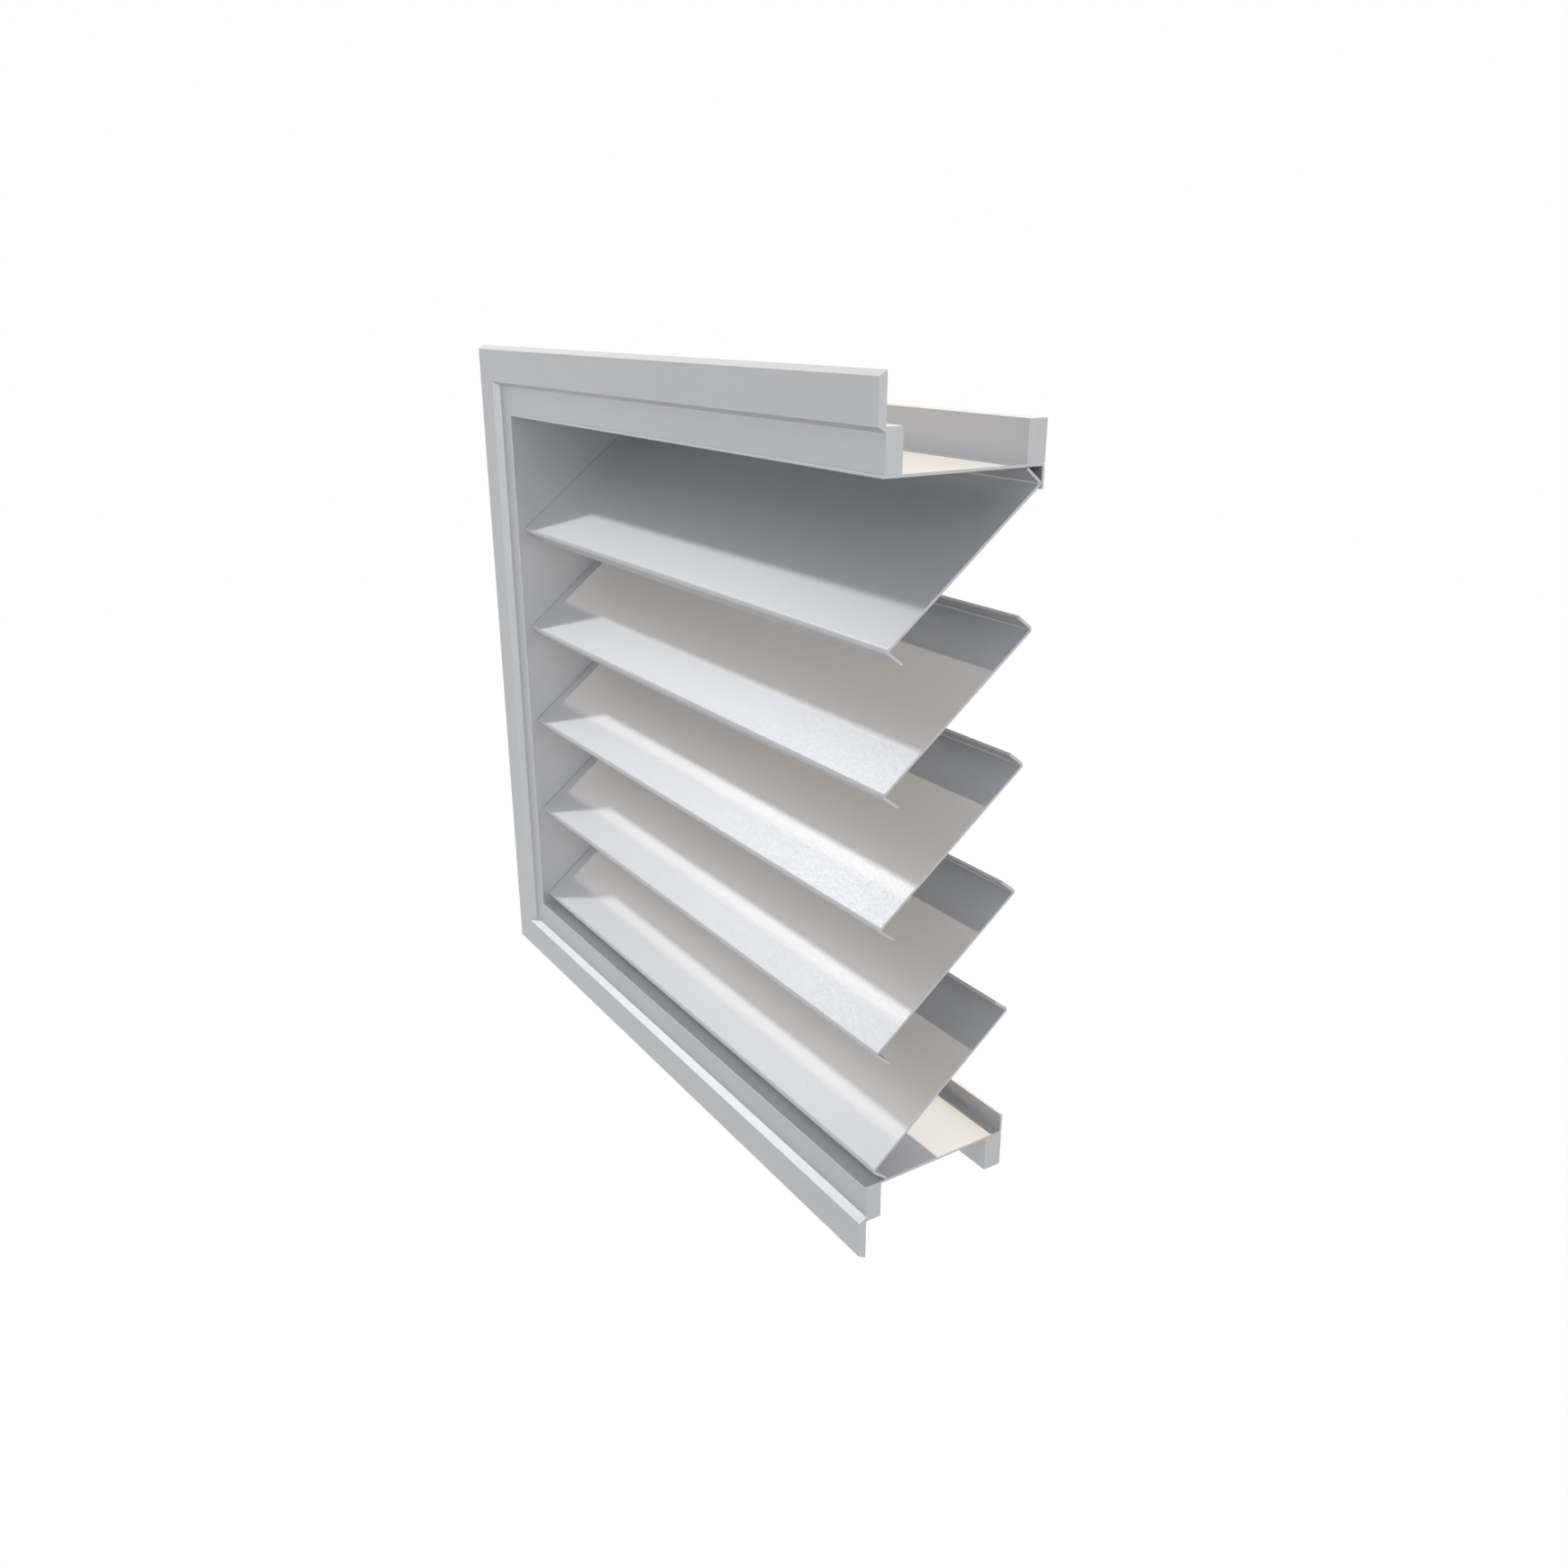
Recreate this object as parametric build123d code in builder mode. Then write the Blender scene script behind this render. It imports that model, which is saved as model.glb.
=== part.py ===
from build123d import *
import os
from math import atan2, cos, degrees, sin

os.makedirs("parts", exist_ok=True)

# A fixed-blade weather louvre for a wall opening, cut square at its right end.
# +X runs to the right along the blades, the weather side faces -Y and +Z is up.
# The wall face, where the flanges bear, is the plane Y = 0.
# The origin is on the back of the sill flange, in the middle of its length and of its bearing strip.

# Driving dimensions, in millimetres
width = 498.0
casing_depth = 100.3
blade_count = 5
blade_pitch = 75.0

# Front flange with its solid block
flange_thickness = 4.7
flange_width = 28.0
flange_bevel = 2.8
flange_reach = 25.0
block_height = 22.0
block_depth = 10.0

# Folded casing sheet that lines the opening
casing_sheet = 1.5
casing_fold = 1.0
casing_edge_proud = 1.8
casing_edge_round = 0.5
rear_lip = 11.5

# Bar behind the casing
rear_bar_depth = 12.0

# Folded blades
blade_sheet = 1.5
blade_fold = 1.5
blade_rise = 74.5
blade_setback = 3.8
blade_lip = 12.5
rear_clearance = 0.1
lip_clearance = 0.2

# Angle under the jamb end of each blade
angle_sheet = 1.5
angle_fold = 1.5
angle_leg = 14.0
angle_length = 56.0

# Cleats round the outside of the mitred casing corners
cleat_thickness = 2.0
cleat_leg = 38.0
cleat_width = 60.0
cleat_round = 1.5

# Blade slope and reach
rear_fold_y = casing_depth - casing_sheet - rear_clearance
blade_run = rear_fold_y - blade_setback
blade_slope = atan2(blade_rise, blade_run)
lip_run = blade_lip * cos(blade_slope)
lip_rise = blade_lip * sin(blade_slope)
lip_reach = lip_rise + blade_sheet / 2 * cos(blade_slope)

# Distances inwards from the outer edge of the flange
casing_back = flange_reach + block_height
casing_face = casing_back + casing_sheet
lip_edge = casing_face + rear_lip

# Height of the opening and of the whole louvre
blade_stack = (blade_count - 1) * blade_pitch + blade_rise
opening_height = blade_stack + 2 * (lip_reach + lip_clearance)
height = opening_height + 2 * casing_face

# Corners of the louvre and faces of the opening in the row's frame
left_edge = -width / 2
right_end = width / 2
sill_edge = -flange_reach / 2
head_edge = sill_edge + height
jamb_face = left_edge + casing_face
lowest_fold = sill_edge + casing_face + lip_clearance + lip_reach
channel_middle = (block_depth + casing_depth - rear_bar_depth) / 2

# Section planes: local X runs inwards from the outer edge, local Y runs from front to back
sill_section = Plane((right_end, 0, sill_edge), x_dir=(0, 0, 1), z_dir=(-1, 0, 0))
head_section = Plane((left_edge, 0, head_edge), x_dir=(0, 0, -1), z_dir=(1, 0, 0))
jamb_section = Plane((left_edge, 0, sill_edge), x_dir=(1, 0, 0), z_dir=(0, 0, 1))

# Mitre planes at the two left corners, with the jamb on the side of their normals
lower_mitre = Plane((left_edge, 0, sill_edge), z_dir=(-1, 0, 1))
upper_mitre = Plane((left_edge, 0, head_edge), z_dir=(-1, 0, -1))

# Name, section plane, length and mitres of each frame member
members = (
    ("sill", sill_section, width, ((lower_mitre, Keep.BOTTOM),)),
    ("head", head_section, width, ((upper_mitre, Keep.BOTTOM),)),
    ("jamb", jamb_section, height, ((lower_mitre, Keep.TOP), (upper_mitre, Keep.TOP))),
)


def keep_piece(piece, name):
    """Label a finished piece and write it under its own name."""
    piece.part.label = name
    export_step(piece.part, f"parts/{name}.step")


def make_flange(name, section, length, mitres):
    """Bevelled flange and the solid block behind its inner edge, mitred at the corners."""
    with BuildPart() as flange:
        with BuildSketch(section):
            with BuildLine():
                Polyline(
                    (0, 0),
                    (flange_bevel, -flange_thickness),
                    (flange_width - flange_bevel, -flange_thickness),
                    (flange_width, 0),
                    (casing_back, 0),
                    (casing_back, block_depth),
                    (flange_reach, block_depth),
                    (flange_reach, 0),
                    close=True,
                )
            make_face()
        extrude(amount=length)
        for mitre, side in mitres:
            split(bisect_by=mitre, keep=side)
    keep_piece(flange, f"{name}_flange")


def make_casing(name, section, length, mitres):
    """Sheet that lines the opening, folded inwards behind the blades."""
    sheet_middle = casing_back + casing_sheet / 2
    with BuildPart() as casing:
        with BuildSketch(section) as profile:
            with BuildLine():
                FilletPolyline(
                    (sheet_middle, -casing_edge_proud),
                    (sheet_middle, casing_depth - casing_sheet / 2),
                    (lip_edge, casing_depth - casing_sheet / 2),
                    radius=casing_fold,
                )
            trace(line_width=casing_sheet)
            fillet(profile.vertices().group_by(Axis.Y)[0], casing_edge_round)
        extrude(amount=length)
        for mitre, side in mitres:
            split(bisect_by=mitre, keep=side)
    keep_piece(casing, f"{name}_casing")


def make_rear_bar(name, section, length, mitres):
    """Plain bar along the back edge of the casing, level with the front block."""
    with BuildPart() as bar:
        with BuildSketch(section):
            with Locations((flange_reach, casing_depth - rear_bar_depth)):
                Rectangle(block_height, rear_bar_depth, align=(Align.MIN, Align.MIN))
        extrude(amount=length)
        for mitre, side in mitres:
            split(bisect_by=mitre, keep=side)
    keep_piece(bar, f"{name}_rear_bar")


def make_blade(number, front_fold):
    """Sloping sheet with a drip lip turned back under its front fold and one turned up at the back."""
    rear_fold = front_fold + blade_rise
    with BuildPart() as blade:
        with BuildSketch(Plane.YZ.offset(jamb_face)):
            with BuildLine():
                FilletPolyline(
                    (blade_setback + lip_run, front_fold - lip_rise),
                    (blade_setback, front_fold),
                    (rear_fold_y, rear_fold),
                    (rear_fold_y - lip_run, rear_fold + lip_rise),
                    radius=blade_fold,
                )
            trace(line_width=blade_sheet)
        extrude(amount=right_end - jamb_face)
    keep_piece(blade, f"blade_{number}")


def make_end_angle(number, front_fold):
    """Folded angle in the corner between the jamb and the underside of a blade."""
    start = (blade_run / cos(blade_slope) - angle_length) / 2
    underside_y = blade_setback + start * cos(blade_slope) + blade_sheet / 2 * sin(blade_slope)
    underside_z = front_fold + start * sin(blade_slope) - blade_sheet / 2 * cos(blade_slope)
    along_blade = (0, cos(blade_slope), sin(blade_slope))
    corner = Plane((jamb_face, underside_y, underside_z), x_dir=(1, 0, 0), z_dir=along_blade)
    with BuildPart() as angle:
        with BuildSketch(corner):
            with BuildLine():
                FilletPolyline(
                    (angle_leg, angle_sheet / 2),
                    (angle_sheet / 2, angle_sheet / 2),
                    (angle_sheet / 2, angle_leg),
                    radius=angle_fold,
                )
            trace(line_width=angle_sheet)
        extrude(amount=angle_length)
    keep_piece(angle, f"end_angle_{number}")


def make_corner_cleat(name, corner_height, facing):
    """Angle that joins the casing sheets round the outside of a mitred corner."""
    corner_x = left_edge + casing_back
    corner = Plane((corner_x, channel_middle, corner_height), x_dir=(1, 0, 0), z_dir=(0, facing, 0))
    with BuildPart() as cleat:
        with BuildSketch(corner) as profile:
            with BuildLine():
                Polyline(
                    (0, 0),
                    (cleat_leg, 0),
                    (cleat_leg, -cleat_thickness),
                    (-cleat_thickness, -cleat_thickness),
                    (-cleat_thickness, cleat_leg),
                    (0, cleat_leg),
                    close=True,
                )
            make_face()
            outer_corner = profile.vertices().group_by(Axis.X)[0].sort_by(Axis.Y)[0]
            fillet(outer_corner, cleat_round)
        extrude(amount=cleat_width / 2, both=True)
    keep_piece(cleat, name)


# Frame: head, sill and left jamb, each a flange, a casing and a rear bar
for member in members:
    make_flange(*member)
    make_casing(*member)
    make_rear_bar(*member)

# Blades, counted from the top, with the angle that carries each at the jamb
for row in range(blade_count):
    front_fold_z = lowest_fold + (blade_count - 1 - row) * blade_pitch
    make_blade(row + 1, front_fold_z)
    make_end_angle(row + 1, front_fold_z)

# Cleats in the channel behind the flange, at the two mitred corners
make_corner_cleat("lower_corner_cleat", sill_edge + casing_back, -1)
make_corner_cleat("upper_corner_cleat", head_edge - casing_back, 1)

print(f"overall {width:.1f} x {casing_depth + flange_thickness:.1f} x {height:.2f} mm")
print(f"blade slope {degrees(blade_slope):.2f} degrees, opening {opening_height:.2f} mm high")
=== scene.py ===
# A fixed-blade weather louvre: its finishes and rivets, in a plain pale studio
import math

import bpy
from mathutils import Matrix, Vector


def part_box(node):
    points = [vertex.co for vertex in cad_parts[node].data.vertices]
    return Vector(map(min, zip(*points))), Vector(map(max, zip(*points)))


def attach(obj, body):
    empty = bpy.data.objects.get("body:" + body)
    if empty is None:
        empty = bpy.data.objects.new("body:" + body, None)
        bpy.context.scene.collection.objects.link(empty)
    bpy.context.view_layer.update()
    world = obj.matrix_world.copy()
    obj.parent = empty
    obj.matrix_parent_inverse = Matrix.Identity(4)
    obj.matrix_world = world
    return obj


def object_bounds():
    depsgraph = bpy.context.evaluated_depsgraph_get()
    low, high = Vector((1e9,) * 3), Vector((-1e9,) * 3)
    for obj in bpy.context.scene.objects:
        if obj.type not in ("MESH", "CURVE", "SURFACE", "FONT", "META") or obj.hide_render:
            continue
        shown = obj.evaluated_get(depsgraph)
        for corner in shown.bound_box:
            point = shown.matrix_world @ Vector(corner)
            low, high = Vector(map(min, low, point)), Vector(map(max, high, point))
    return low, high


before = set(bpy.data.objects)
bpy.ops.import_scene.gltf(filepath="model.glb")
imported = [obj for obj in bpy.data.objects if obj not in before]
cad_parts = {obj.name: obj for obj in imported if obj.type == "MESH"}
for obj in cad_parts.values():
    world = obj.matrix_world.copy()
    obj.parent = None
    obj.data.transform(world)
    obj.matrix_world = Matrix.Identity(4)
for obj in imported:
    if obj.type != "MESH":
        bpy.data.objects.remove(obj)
cad_box = [list(corner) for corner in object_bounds()]

MM = 0.001
LEFT, DOWN, UP = Vector((-1, 0, 0)), Vector((0, 0, -1)), Vector((0, 0, 1))
WHITE = "#FFFFFF"

# Camera: the fixed viewpoint, in front of the louvre, to its right and a little above its top,
# with lens and sensor in millimetres
CAMERA_PLACE = (0.7459, -0.3794, 0.5024)
CAMERA_TURN = math.radians(56.93)
CAMERA_DOWN = math.radians(19.84)
CAMERA_LENS = 30.35
SENSOR_WIDTH = 36.0
CAMERA_NEAR, CAMERA_FAR = 0.01, 100.0

# Lamps: where each stands, as degrees round from the front (to the right) and degrees up,
# and the degrees that its light spreads over
KEY_SIDE, KEY_UP, KEY_SPREAD = -69.0, 40.0, 3.0
BACK_SIDE, BACK_UP, BACK_SPREAD = 180.0, 60.0, 0.8
RIGHT_FILL_SIDE, RIGHT_FILL_UP, RIGHT_FILL_SPREAD = 90.0, 0.0, 60.0
FRONT_FILL_SIDE, FRONT_FILL_UP, FRONT_FILL_SPREAD = 30.0, 30.0, 60.0
KEY_STRENGTH = 0.43
BACK_STRENGTH = 3.7
RIGHT_FILL_STRENGTH = 0.78
FRONT_FILL_STRENGTH = 0.78
BACK_COLOUR = "#FFF1DE"
FRONT_FILL_COLOUR = "#FAFBFF"
SKY_STRENGTH = 0.18
SKY_COLOUR = "#F0F5FF"

# Studio floor, far below because the louvre hangs in a wall: the pale paint that is seen,
# and the duller one that it lights the louvre with
FLOOR_DROP = 1.2
FLOOR_SIZE = 16.0
FLOOR_COLOUR = "#DCE5F0"
FLOOR_BOUNCE = "#707070"

# Most values of a noise texture lie between these
NOISE_LOW, NOISE_HIGH = 0.3, 0.7

# Sockets of a Mix node that mixes two colours
MIX_FIRST, MIX_SECOND, MIX_RESULT = 6, 7, 2

# Powder coat: colour, share of metal, gloss, drift of tint, and the size its patterns are drawn at
COAT_COLOUR = "#CCCDCF"
COAT_METAL = 0.5
COAT_SMOOTHEST, COAT_ROUGHEST = 0.42, 0.48
TINT_DARK, TINT_LIGHT = 0.975, 1.02
CLOUD_SIZE = 90.0 * MM
CLOUD_LOW, CLOUD_HIGH = 0.25, 0.75
FLAKE_SIZE = 0.5 * MM
FLAKE_SHARE = 0.2
PEEL_SIZE = 1.4 * MM
PEEL_DEPTH = 0.02 * MM
PEEL_STRENGTH = 0.25

# Painted shade: a dark strip on the blade coat that stands for the contact shadow in the joint between a
# blade's end and the jamb
PAINTED_SHADE_WIDTH = 1.1 * MM
PAINTED_SHADE_SHARE = 0.75
PAINTED_SHADE_COLOUR = "#55575A"

# Mill-finish aluminium: colours, gloss, and lines that run from front to back
MILL_COLOUR = "#C4C6C8"
RIVET_COLOUR = "#B9BBBD"
MILL_SMOOTHEST, MILL_ROUGHEST = 0.32, 0.46
MILL_LINE = 0.35 * MM
RIVET_LINE = 0.6 * MM
LINE_STRETCH = (1.0, 0.03, 1.0)
LINE_DEPTH = 0.02 * MM
LINE_STRENGTH = 0.3

# Rivets: 3.2 mm blind rivets, the size that such sheet work uses
RIVET_SIDES = 20
HEAD_RADIUS = 3.25 * MM
HEAD_HEIGHT = 1.1 * MM
HEAD_ROUNDING = 0.8 * MM
SHANK_RADIUS = 1.6 * MM
TAIL_RADIUS = 2.3 * MM
TAIL_LENGTH = 2.6 * MM
TAIL_ROUNDING = 0.7 * MM
PIN_RADIUS = 1.0 * MM
PIN_DEPTH = 0.45 * MM
SMOOTH_ANGLE = math.radians(40)

# How squarely a face looks along a direction, and how level it lies, to count as the end face
SQUARE_TO = 0.99
LEVEL_WITHIN = 0.01 * MM

# Where the rivets go, and the sheets that they go through
RIVET_PAIR = {"front": -18 * MM, "rear": 18 * MM}
CLEAT_RIVET_IN = 24 * MM
CASING_SHEET = 1.5 * MM
ANGLE_SHEET = 1.5 * MM
CLEAT_SHEET = 2.0 * MM
HEAD_SINK = 0.03 * MM
FLUSH_DEPTH = 0.2 * MM
BLADE_SLOPE = math.radians(38.13)


def linear(hex_colour):
    """An sRGB hex value as a linear colour with full alpha."""
    channels = [int(hex_colour[i : i + 2], 16) / 255 for i in (1, 3, 5)]
    return [c / 12.92 if c <= 0.04045 else ((c + 0.055) / 1.055) ** 2.4 for c in channels] + [1.0]


def shaded(hex_colour, share):
    """An sRGB hex value as a linear colour, made darker or lighter by a share, never past white."""
    return [min(1.0, c * share) for c in linear(hex_colour)[:3]] + [1.0]


def add_node(tree, kind, settings=None, inputs=None):
    """A node with its settings, and its inputs, by name or number, set or linked."""
    made = tree.nodes.new(kind)
    for name, value in (settings or {}).items():
        setattr(made, name, value)
    for name, value in (inputs or {}).items():
        if isinstance(value, bpy.types.NodeSocket):
            tree.links.new(value, made.inputs[name])
        else:
            made.inputs[name].default_value = value
    return made


def new_material(name):
    """An empty node material and its tree."""
    material = bpy.data.materials.new(name)
    material.use_nodes = True
    material.node_tree.nodes.clear()
    return material, material.node_tree


def finish_material(tree, shader):
    """Links a shader to the material's output."""
    add_node(tree, "ShaderNodeOutputMaterial", inputs={"Surface": shader.outputs["BSDF"]})


def powder_coat(name, painted_shade_from_x=None):
    """Silver-grey polyester powder coat with fine aluminium flake, sprayed and baked on aluminium.

    It gives the eye a satin, even grey with a broad sheen towards the lamp, a faint orange peel and a
    slow drift of shade. Real flake is some 0.03 mm wide, too fine to show, so it is drawn coarser.
    Given the X where the sheet's end meets another piece, painted shade darkens the coat in a strip
    from there. The strip stands for the contact shadow in that joint.
    """
    material, tree = new_material(name)
    place = add_node(tree, "ShaderNodeTexCoord").outputs["Object"]
    cloud = add_node(
        tree, "ShaderNodeTexNoise", inputs={"Vector": place, "Scale": 1 / CLOUD_SIZE, "Detail": 2.0}
    )
    flake = add_node(
        tree, "ShaderNodeTexNoise", inputs={"Vector": place, "Scale": 1 / FLAKE_SIZE, "Detail": 1.0}
    )
    peel = add_node(
        tree, "ShaderNodeTexNoise", inputs={"Vector": place, "Scale": 1 / PEEL_SIZE, "Detail": 2.0}
    )
    drift = add_node(
        tree,
        "ShaderNodeMapRange",
        inputs={
            "Value": cloud.outputs["Fac"],
            "From Min": NOISE_LOW,
            "From Max": NOISE_HIGH,
            "To Min": CLOUD_LOW,
            "To Max": CLOUD_HIGH,
        },
    )
    grain = add_node(
        tree,
        "ShaderNodeMapRange",
        inputs={
            "Value": flake.outputs["Fac"],
            "From Min": NOISE_LOW,
            "From Max": NOISE_HIGH,
            "To Min": -FLAKE_SHARE,
            "To Max": FLAKE_SHARE,
        },
    )
    both = add_node(
        tree,
        "ShaderNodeMath",
        {"operation": "ADD"},
        {0: drift.outputs["Result"], 1: grain.outputs["Result"]},
    )
    tint = add_node(
        tree,
        "ShaderNodeMix",
        {"data_type": "RGBA"},
        {
            "Factor": both.outputs["Value"],
            MIX_FIRST: shaded(COAT_COLOUR, TINT_DARK),
            MIX_SECOND: shaded(COAT_COLOUR, TINT_LIGHT),
        },
    )
    coat = tint.outputs[MIX_RESULT]
    # Painted shade: the coat is blended towards dark grey in the strip next to the joint, standing for its
    # contact shadow
    if painted_shade_from_x is not None:
        across = add_node(tree, "ShaderNodeSeparateXYZ", inputs={"Vector": place})
        painted_joint_shade = add_node(
            tree,
            "ShaderNodeMapRange",
            inputs={
                "Value": across.outputs["X"],
                "From Min": painted_shade_from_x,
                "From Max": painted_shade_from_x + PAINTED_SHADE_WIDTH,
                "To Min": PAINTED_SHADE_SHARE,
                "To Max": 0.0,
            },
        )
        coat_with_painted_shade = add_node(
            tree,
            "ShaderNodeMix",
            {"data_type": "RGBA"},
            {"Factor": painted_joint_shade.outputs["Result"], MIX_FIRST: coat, MIX_SECOND: linear(PAINTED_SHADE_COLOUR)},
        )
        coat = coat_with_painted_shade.outputs[MIX_RESULT]
    rough = add_node(
        tree,
        "ShaderNodeMapRange",
        inputs={
            "Value": peel.outputs["Fac"],
            "From Min": NOISE_LOW,
            "From Max": NOISE_HIGH,
            "To Min": COAT_SMOOTHEST,
            "To Max": COAT_ROUGHEST,
        },
    )
    bump = add_node(
        tree,
        "ShaderNodeBump",
        inputs={"Height": peel.outputs["Fac"], "Strength": PEEL_STRENGTH, "Distance": PEEL_DEPTH},
    )
    shader = add_node(
        tree,
        "ShaderNodeBsdfPrincipled",
        inputs={
            "Base Color": coat,
            "Roughness": rough.outputs["Result"],
            "Metallic": COAT_METAL,
            "Normal": bump.outputs["Normal"],
        },
    )
    finish_material(tree, shader)
    return material


def mill_aluminium(name, colour, line):
    """Mill-finish aluminium, cut from drawn stock.

    It gives the eye a soft metal sheen with fine lines. Real drawing lines are some 0.05 mm apart, too
    fine to show, so they are drawn coarser.
    """
    material, tree = new_material(name)
    place = add_node(tree, "ShaderNodeTexCoord").outputs["Object"]
    stretch = add_node(tree, "ShaderNodeMapping", inputs={"Vector": place, "Scale": LINE_STRETCH})
    lines = add_node(
        tree,
        "ShaderNodeTexNoise",
        inputs={"Vector": stretch.outputs["Vector"], "Scale": 1 / line, "Detail": 3.0},
    )
    rough = add_node(
        tree,
        "ShaderNodeMapRange",
        inputs={
            "Value": lines.outputs["Fac"],
            "From Min": NOISE_LOW,
            "From Max": NOISE_HIGH,
            "To Min": MILL_SMOOTHEST,
            "To Max": MILL_ROUGHEST,
        },
    )
    bump = add_node(
        tree,
        "ShaderNodeBump",
        inputs={"Height": lines.outputs["Fac"], "Strength": LINE_STRENGTH, "Distance": LINE_DEPTH},
    )
    shader = add_node(
        tree,
        "ShaderNodeBsdfPrincipled",
        inputs={
            "Base Color": linear(colour),
            "Metallic": 1.0,
            "Roughness": rough.outputs["Result"],
            "Normal": bump.outputs["Normal"],
        },
    )
    finish_material(tree, shader)
    return material


def dress(node, material):
    """Gives a CAD node one material."""
    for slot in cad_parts[node].material_slots:
        slot.link = "OBJECT"
        slot.material = material


def dress_louvre():
    """Coats frame and blades, and leaves angles and cleats as drawn aluminium."""
    profile_coat = powder_coat("powder_coated_aluminium_profile")
    sheet_coat = powder_coat("powder_coated_aluminium_sheet")
    # The blades' coat gets painted shade at their ends by the jamb, standing for the contact shadow in
    # that joint
    blade_coat_and_painted_shade = powder_coat("powder_coated_aluminium_blade_with_painted_shade", painted_shade_from_x=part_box("blade_1")[0][0])
    mill_angle = mill_aluminium("mill_finish_aluminium", MILL_COLOUR, MILL_LINE)
    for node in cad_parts:
        if "angle" in node or "cleat" in node:
            dress(node, mill_angle)
        elif "blade" in node:
            dress(node, blade_coat_and_painted_shade)
        elif "casing" in node:
            dress(node, sheet_coat)
        else:
            dress(node, profile_coat)


def pick_faces(piece, wanted):
    """Selects only the faces that fit, and leaves the piece in edit mode."""
    bpy.ops.object.mode_set(mode="EDIT")
    bpy.ops.mesh.select_mode(type="FACE")
    bpy.ops.mesh.select_all(action="DESELECT")
    bpy.ops.object.mode_set(mode="OBJECT")
    for face in piece.data.polygons:
        face.select = wanted(face)
    bpy.ops.object.mode_set(mode="EDIT")


def pick_end(piece, way):
    """Selects the one face that lies furthest along a direction and looks that way."""
    furthest = max(face.center.dot(way) for face in piece.data.polygons)
    level = furthest - LEVEL_WITHIN
    pick_faces(piece, lambda face: face.normal.dot(way) > SQUARE_TO and face.center.dot(way) > level)


def extrude_along(way, length):
    """Extrudes the selected face and moves it along."""
    bpy.ops.mesh.extrude_region_move(TRANSFORM_OT_translate={"value": way * length})


def pick_object(piece):
    """Makes a piece the only selected object, and the active one."""
    bpy.ops.object.select_all(action="DESELECT")
    piece.select_set(True)
    bpy.context.view_layer.objects.active = piece


def model_rivet(out, grip, tail):
    """Blind rivet with its head's underside at the origin, its head outwards and a grip's length of shank.

    A tail is the swelling at the shank's far end. Without one, nothing shows at that end.
    """
    bpy.ops.object.select_all(action="DESELECT")
    bpy.ops.mesh.primitive_cylinder_add(
        vertices=RIVET_SIDES,
        radius=HEAD_RADIUS,
        depth=HEAD_HEIGHT,
        location=out * (HEAD_HEIGHT / 2),
        rotation=out.to_track_quat("Z", "Y").to_euler(),
    )
    bpy.ops.object.transform_apply(location=True, rotation=True, scale=True)
    rivet = bpy.context.object

    # Domed head
    pick_end(rivet, out)
    bpy.ops.mesh.bevel(offset=HEAD_ROUNDING, segments=3, profile=0.5, affect="EDGES")
    bpy.ops.object.mode_set(mode="OBJECT")

    # Hole left by the pin, with the pin's broken end a little way down
    pick_end(rivet, out)
    bpy.ops.mesh.inset(thickness=HEAD_RADIUS - HEAD_ROUNDING - PIN_RADIUS)
    extrude_along(-out, PIN_DEPTH)
    bpy.ops.object.mode_set(mode="OBJECT")

    # Shank, and the tail that the pin swelled
    pick_end(rivet, -out)
    bpy.ops.mesh.inset(thickness=HEAD_RADIUS - SHANK_RADIUS)
    extrude_along(-out, grip)
    if tail:
        widen = TAIL_RADIUS / SHANK_RADIUS
        extrude_along(-out, 0)
        bpy.ops.transform.resize(value=(widen, widen, widen))
        extrude_along(-out, TAIL_LENGTH)
        bpy.ops.mesh.bevel(offset=TAIL_ROUNDING, segments=2, profile=0.5, affect="EDGES")
    bpy.ops.object.mode_set(mode="OBJECT")
    bpy.ops.object.shade_smooth_by_angle(angle=SMOOTH_ANGLE)
    return rivet


def set_rivets(metal, out, grip, tail, places):
    """Models one rivet, copies it for the other places, and moves each one's mesh to its place."""
    rivets = [model_rivet(out, grip, tail)]
    while len(rivets) < len(places):
        pick_object(rivets[0])
        bpy.ops.object.duplicate(linked=False)
        rivets.append(bpy.context.object)
    for rivet, (name, place) in zip(rivets, places.items()):
        pick_object(rivet)
        bpy.ops.object.mode_set(mode="EDIT")
        bpy.ops.mesh.select_all(action="SELECT")
        bpy.ops.transform.translate(value=place - out * HEAD_SINK)
        bpy.ops.object.mode_set(mode="OBJECT")
        rivet.name = name
        rivet.data.name = name
        rivet.data.materials.append(metal)
        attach(rivet, "root")


def rivet_angles(metal):
    """Two rivets through each end angle, with their heads on the outside of the jamb."""
    along_blade = Vector((0, math.cos(BLADE_SLOPE), math.sin(BLADE_SLOPE)))
    cleat_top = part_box("lower_corner_cleat")[1][2]
    grip = CASING_SHEET + ANGLE_SHEET
    through_sheet, through_cleat = {}, {}
    for angle in sorted(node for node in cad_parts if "end_angle" in node):
        low, high = [Vector(corner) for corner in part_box(angle)]
        middle = (low + high) / 2
        middle.x = low.x - CASING_SHEET
        for end, shift in RIVET_PAIR.items():
            name = angle.replace("end_angle", "angle_rivet") + "_" + end
            place = middle + along_blade * shift
            # One that falls on the lower cleat sits on it
            if place.z < cleat_top:
                through_cleat[name] = place + LEFT * CLEAT_SHEET
            else:
                through_sheet[name] = place
    set_rivets(metal, LEFT, grip, True, through_sheet)
    set_rivets(metal, LEFT, grip + CLEAT_SHEET, True, through_cleat)


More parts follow.
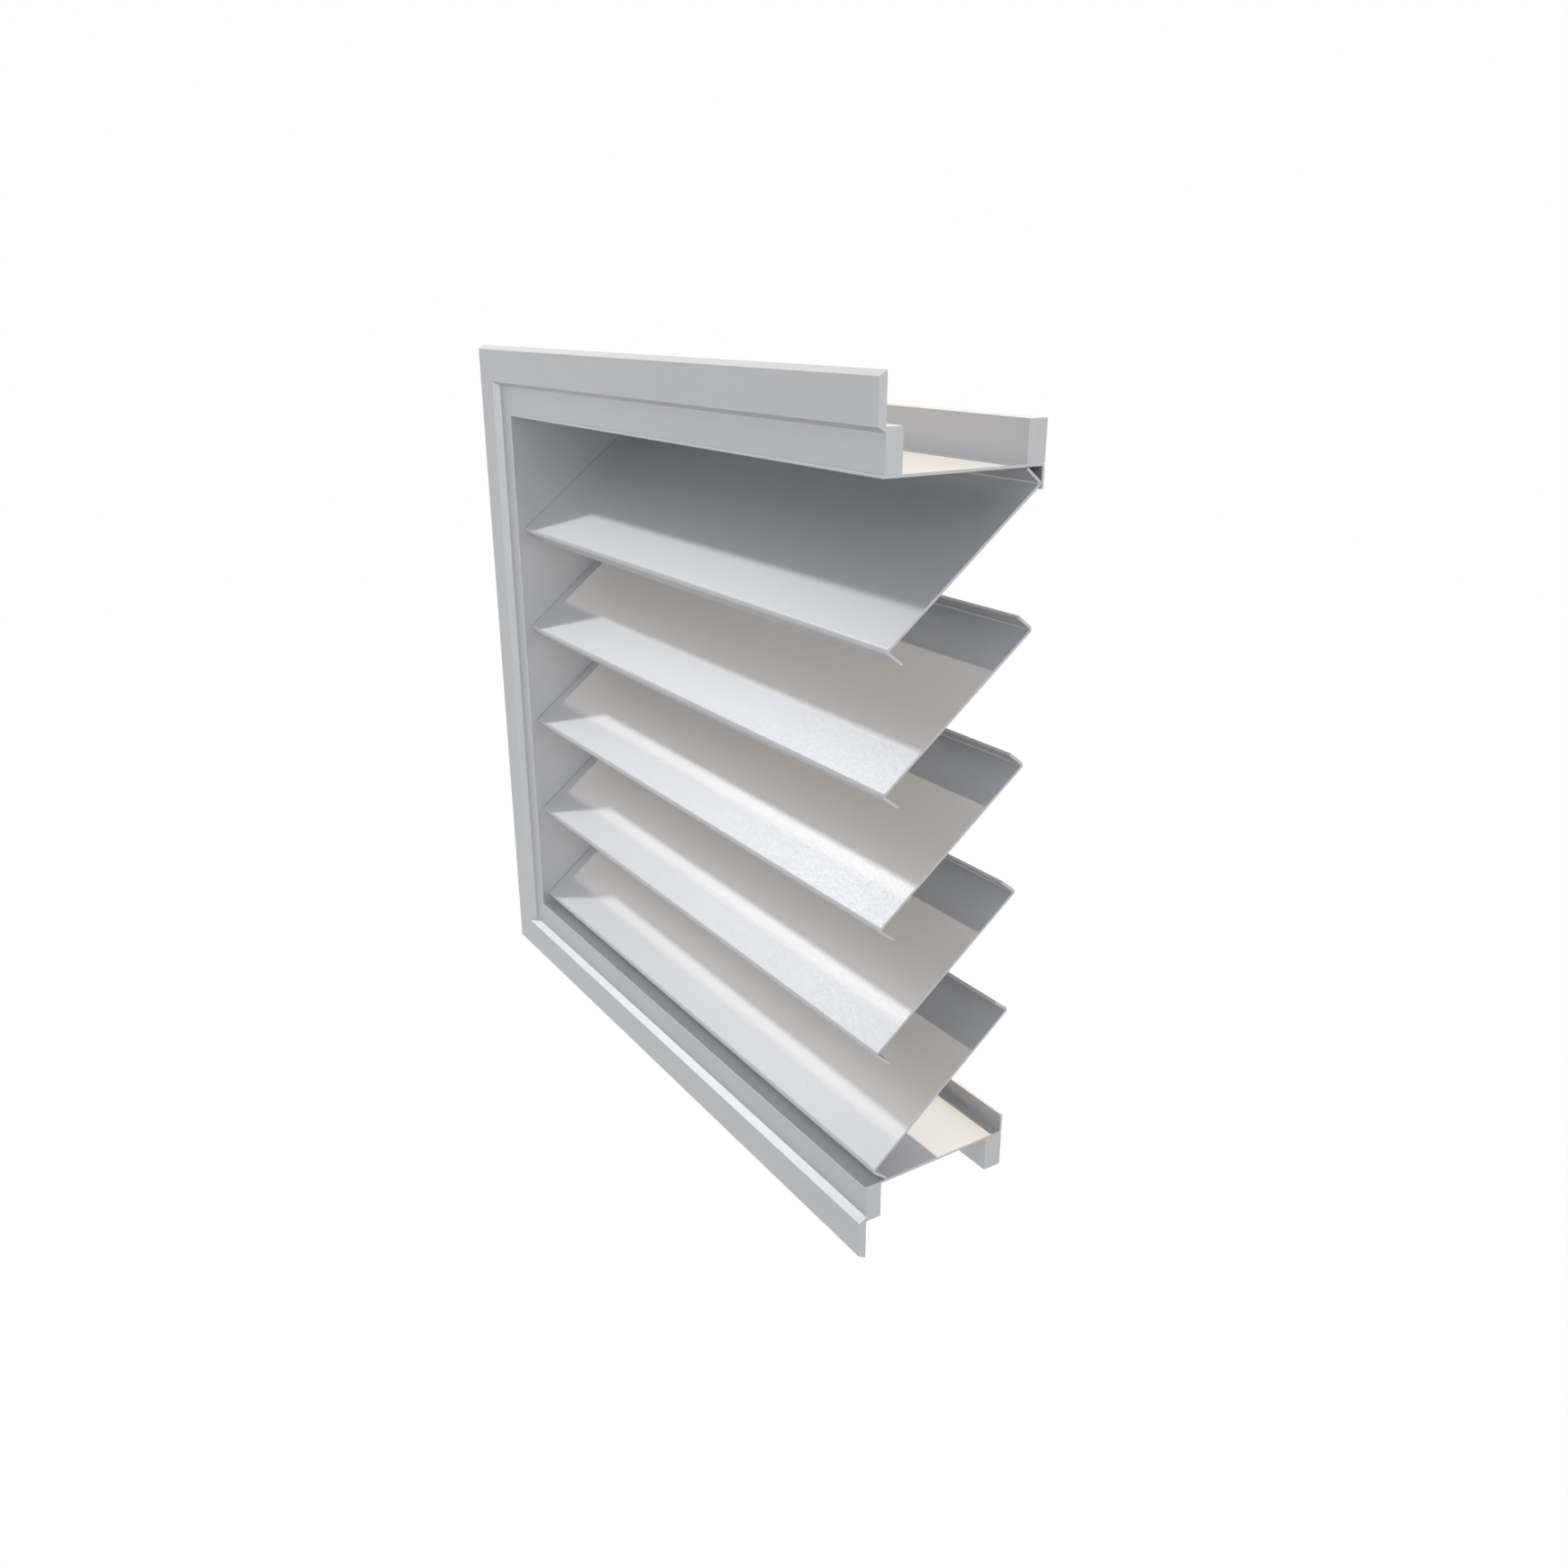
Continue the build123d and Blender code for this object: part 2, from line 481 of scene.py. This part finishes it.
def rivet_cleats(metal):
    """Four rivets through each corner cleat, whose shanks end just under the casing's inner face."""
    inset = CLEAT_SHEET + CLEAT_RIVET_IN
    grip = CLEAT_SHEET + CASING_SHEET - FLUSH_DEPTH
    jamb_side, sill_side, head_side = {}, {}, {}
    for cleat, out, flat_side in (("lower", DOWN, sill_side), ("upper", UP, head_side)):
        low, high = [Vector(corner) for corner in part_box(f"{cleat}_corner_cleat")]
        edge = low.z if cleat == "lower" else high.z
        for end, shift in RIVET_PAIR.items():
            depth = (low.y + high.y) / 2 + shift
            jamb_side[f"{cleat}_cleat_jamb_rivet_{end}"] = Vector((low.x, depth, edge)) - out * inset
            flat_side[f"{cleat}_cleat_rivet_{end}"] = Vector((low.x + inset, depth, edge))
    set_rivets(metal, LEFT, grip, False, jamb_side)
    set_rivets(metal, DOWN, grip, False, sill_side)
    set_rivets(metal, UP, grip, False, head_side)


def towards(side, up):
    """Unit vector from the louvre towards a lamp."""
    side, up = math.radians(side), math.radians(up)
    return Vector((math.sin(side) * math.cos(up), -math.cos(side) * math.cos(up), math.sin(up)))


def add_sun(name, side, up, spread, strength, colour):
    """A parallel lamp whose spread in degrees softens its shadows."""
    aim = towards(side, up).to_track_quat("Z", "Y").to_euler()
    bpy.ops.object.light_add(type="SUN", rotation=aim)
    lamp = bpy.context.object
    lamp.name = name
    lamp.data.angle = math.radians(spread)
    lamp.data.energy = strength
    lamp.data.color = linear(colour)[:3]


def studio_lamps():
    """Key from the left front, steep warm sun from behind, and two broad fills."""
    add_sun("key_lamp", KEY_SIDE, KEY_UP, KEY_SPREAD, KEY_STRENGTH, WHITE)
    add_sun("back_lamp", BACK_SIDE, BACK_UP, BACK_SPREAD, BACK_STRENGTH, BACK_COLOUR)
    add_sun(
        "right_fill_lamp", RIGHT_FILL_SIDE, RIGHT_FILL_UP, RIGHT_FILL_SPREAD, RIGHT_FILL_STRENGTH, WHITE
    )
    add_sun(
        "front_fill_lamp",
        FRONT_FILL_SIDE,
        FRONT_FILL_UP,
        FRONT_FILL_SPREAD,
        FRONT_FILL_STRENGTH,
        FRONT_FILL_COLOUR,
    )


def seen_rays(tree):
    """One for rays that the camera, gloss or glass sends out, nought for the light's own bounces."""
    rays = add_node(tree, "ShaderNodeLightPath")
    seen = rays.outputs["Is Camera Ray"]
    for kind in ("Is Glossy Ray", "Is Transmission Ray"):
        pair = {0: seen, 1: rays.outputs[kind]}
        seen = add_node(tree, "ShaderNodeMath", {"operation": "MAXIMUM"}, pair).outputs["Value"]
    return seen


def studio_world():
    """Even sky that shows as plain white behind the louvre and in gloss."""
    world = bpy.data.worlds.new("studio_sky")
    bpy.context.scene.world = world
    world.use_nodes = True
    tree = world.node_tree
    tree.nodes.clear()
    seen = seen_rays(tree)
    sky = add_node(
        tree, "ShaderNodeBackground", inputs={"Color": linear(SKY_COLOUR), "Strength": SKY_STRENGTH}
    )
    white = add_node(tree, "ShaderNodeBackground", inputs={"Color": linear(WHITE), "Strength": 1.0})
    mix = add_node(
        tree,
        "ShaderNodeMixShader",
        inputs={"Fac": seen, 1: sky.outputs["Background"], 2: white.outputs["Background"]},
    )
    add_node(tree, "ShaderNodeOutputWorld", inputs={"Surface": mix.outputs["Shader"]})


def studio_floor():
    """Pale floor that shows white where it is lit and keeps its shadows, but throws little light up."""
    low = cad_box[0][2] - FLOOR_DROP
    bpy.ops.mesh.primitive_plane_add(size=FLOOR_SIZE, location=(0, 0, low))
    floor = bpy.context.object
    floor.name = "studio_floor"
    material, tree = new_material("pale_floor")
    tint = add_node(
        tree,
        "ShaderNodeMix",
        {"data_type": "RGBA"},
        {
            "Factor": seen_rays(tree),
            MIX_FIRST: linear(FLOOR_BOUNCE),
            MIX_SECOND: linear(FLOOR_COLOUR),
        },
    )
    paint = add_node(tree, "ShaderNodeBsdfDiffuse", inputs={"Color": tint.outputs[MIX_RESULT]})
    finish_material(tree, paint)
    floor.data.materials.append(material)


def add_camera():
    """Camera at the fixed viewpoint."""
    bpy.ops.object.camera_add(
        location=CAMERA_PLACE, rotation=(math.pi / 2 - CAMERA_DOWN, 0, CAMERA_TURN)
    )
    camera = bpy.context.object
    camera.name = "view_camera"
    camera.data.sensor_width = SENSOR_WIDTH
    camera.data.lens = CAMERA_LENS
    camera.data.clip_start = CAMERA_NEAR
    camera.data.clip_end = CAMERA_FAR
    bpy.context.scene.camera = camera


bpy.ops.object.select_all(action="DESELECT")
bpy.context.scene.view_settings.view_transform = "Standard"
add_camera()

dress_louvre()
rivet_metal = mill_aluminium("aluminium_rivet", RIVET_COLOUR, RIVET_LINE)
rivet_angles(rivet_metal)
rivet_cleats(rivet_metal)

studio_lamps()
studio_world()
studio_floor()
